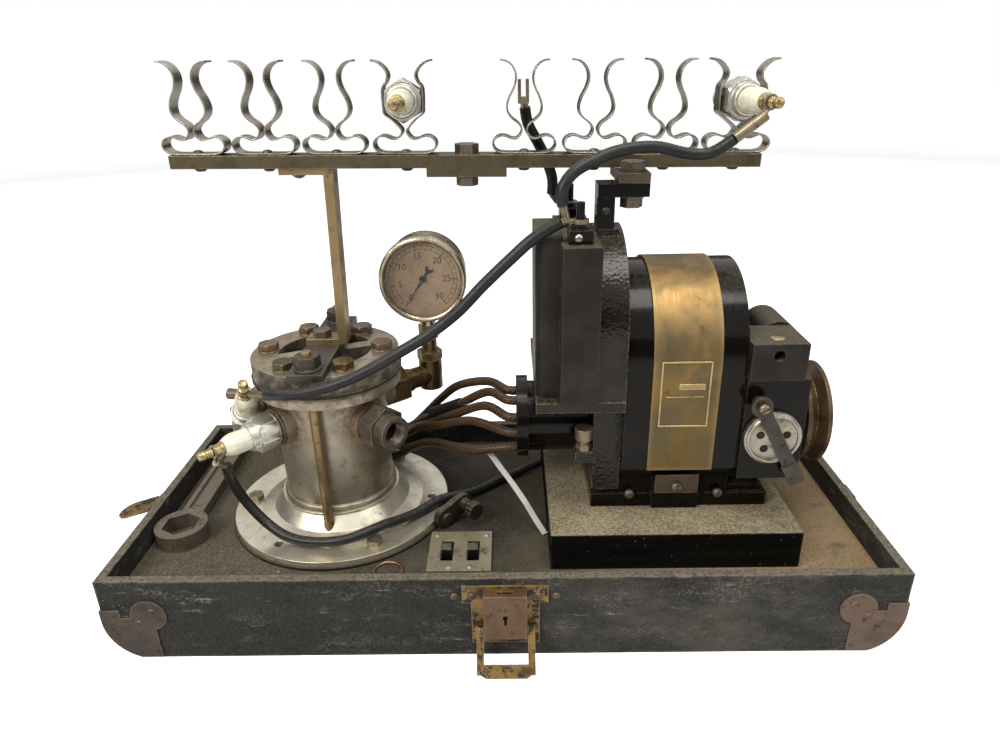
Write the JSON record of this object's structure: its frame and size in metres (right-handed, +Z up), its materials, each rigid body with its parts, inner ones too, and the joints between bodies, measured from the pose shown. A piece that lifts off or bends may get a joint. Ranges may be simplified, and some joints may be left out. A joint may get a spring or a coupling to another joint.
{
  "type": "spark plug tester",
  "caption": "Bench spark plug tester in a shallow carrying tray: pressure chamber with sight glass and gauge, hand-driven magneto, and an overhead rack of spring clips.",
  "frame": {"origin": "middle of the tray's underside", "axes": "+X along the tray towards the drive pulley, +Y from the lock side to the back, +Z up"},
  "size_m": [0.5542, 0.2358, 0.3577],
  "materials": {
    "black_fibre": "scuffed",
    "dusty_board": "dusty",
    "rusted_sheet": "rusted",
    "bronze": "aged",
    "gasket_rubber": "matte",
    "dull_alloy": "stained",
    "old_steel": "tarnished",
    "dark_iron": "worn",
    "sight_glass": "smooth",
    "rusted_bolts": "rusted",
    "nickel_steel": "dulled nickel",
    "white_ceramic": "glazed ceramic",
    "aged_brass": "aged",
    "dial_card": "printed",
    "black_enamel": "gloss enamel",
    "black_wood": "painted",
    "black_moulding": "moulded",
    "worn_pulley": "worn",
    "rusted_iron": "rusted",
    "black_rubber": "satin",
    "varnished_cloth": "varnished"
  },
  "bodies": {
    "base": {"tray_shell": "black_fibre", "floor_board": "dusty_board", "corner_caps": "rusted_sheet", "case_rivets": "bronze", "lock_plate": "bronze", "lock_case": "bronze", "catch_plates": "bronze", "gaskets": "gasket_rubber", "base_flange": "dull_alloy", "flange_screws": "old_steel", "barrel": "dull_alloy", "port_fittings": "dark_iron", "air_inlet": "dark_iron", "glass_panes": "sight_glass", "barrel_cover": "dull_alloy", "cover_bolts": "rusted_bolts", "clamp_bar": "dark_iron", "tie_rods": "bronze", "plug_shells": "nickel_steel", "plug_insulators": "white_ceramic", "plug_terminals": "aged_brass", "gauge_piping": "aged_brass", "gauge_case": "nickel_steel", "gauge_bezel": "nickel_steel", "gauge_dial": "dial_card", "bourdon_tube": "aged_brass", "upright": "old_steel", "rack_bar": "old_steel", "rack_bolts": "old_steel", "spring_clips": "nickel_steel", "wood_block": "black_wood", "magneto_base": "black_enamel", "magnets": "black_enamel", "brass_band": "aged_brass", "distributor_housing": "black_enamel", "distributor_blocks": "black_moulding", "lead_collar": "black_moulding", "breaker_housing": "black_enamel", "terminal_boxes": "black_moulding", "breaker_cap": "nickel_steel", "top_terminals": "dark_iron", "switch_plate": "old_steel", "binding_post": "black_moulding", "lead_ends": "dark_iron", "black_leads": "black_rubber", "brown_leads": "varnished_cloth"},
    "hasp_body": {"hasp": "bronze"},
    "left_catch_body": {"left_catch": "rusted_sheet"},
    "right_catch_body": {"right_catch": "rusted_sheet"},
    "pointer_body": {"gauge_pointer": "black_enamel"},
    "loose_plug": {"clip_plug": "nickel_steel"},
    "gear_body": {"distributor_gear": "aged_brass"},
    "rotor": {"drive_pulley": "worn_pulley", "armature": "old_steel"},
    "grease_cap_body": {"grease_cap": "nickel_steel"},
    "lever_body": {"breaker_lever": "black_enamel"},
    "left_switch_body": {"left_switch": "black_moulding"},
    "right_switch_body": {"right_switch": "black_moulding"},
    "knob_body": {"thumb_knob": "black_moulding"},
    "wrench_body": {"wrench": "rusted_iron"}
  },
  "joints": [
    {"name": "hasp_swing", "type": "hinge", "parent": "base", "child": "hasp_body", "pos_m": [0.003, -0.1107, 0.025], "axis": [-1, 0, 0], "range_deg": [0, 120]},
    {"name": "left_catch_swing", "type": "hinge", "parent": "base", "child": "left_catch_body", "pos_m": [-0.2586, -0.002, 0.052], "axis": [0, 1, 0], "range_deg": [-60, 95]},
    {"name": "right_catch_swing", "type": "hinge", "parent": "base", "child": "right_catch_body", "pos_m": [0.2586, -0.002, 0.052], "axis": [0, -1, 0], "range_deg": [0, 160]},
    {"name": "pointer_sweep", "type": "hinge", "parent": "base", "child": "pointer_body", "pos_m": [-0.05462, 0.06028, 0.208], "axis": [0, 1, 0], "range_deg": [0, 280], "stiffness_Nm_per_rad": 0.0005},
    {"name": "plug_pull", "type": "slide", "parent": "base", "child": "loose_plug", "axis": [0, -1, 0], "range_m": [0, 0.05]},
    {"name": "pulley_spin", "type": "hinge", "parent": "base", "child": "rotor", "pos_m": [0.19, 0, 0.121], "axis": [1, 0, 0], "continuous": true},
    {"name": "distributor_spin", "type": "hinge", "parent": "base", "child": "gear_body", "pos_m": [0.06, 0, 0.166], "axis": [1, 0, 0], "continuous": true},
    {"name": "grease_cap_turn", "type": "hinge", "parent": "base", "child": "grease_cap_body", "pos_m": [0.056, -0.044, 0.1167], "axis": [0, 0, 1], "continuous": true},
    {"name": "breaker_lever_swing", "type": "hinge", "parent": "base", "child": "lever_body", "pos_m": [0.1615, -0.065, 0.157], "axis": [0, 1, 0], "range_deg": [-60, 25]},
    {"name": "left_switch_throw", "type": "hinge", "parent": "base", "child": "left_switch_body", "pos_m": [-0.037, -0.0565, 0.0397], "axis": [1, 0, 0], "range_deg": [-50, 0]},
    {"name": "right_switch_throw", "type": "hinge", "parent": "base", "child": "right_switch_body", "pos_m": [-0.019, -0.0565, 0.0397], "axis": [1, 0, 0], "range_deg": [-50, 0]},
    {"name": "thumb_knob_turn", "type": "hinge", "parent": "base", "child": "knob_body", "pos_m": [-0.02837, -0.01586, 0.0577], "axis": [0.6428, -0.766, 0], "continuous": true},
    {"name": "wrench_lift", "type": "slide", "parent": "base", "child": "wrench_body", "axis": [0, 0, 1], "range_m": [0, 0.1]}
  ],
  "couplings": [
    {"joint": "distributor_spin", "follows": "pulley_spin", "ratio": -0.25}
  ]
}
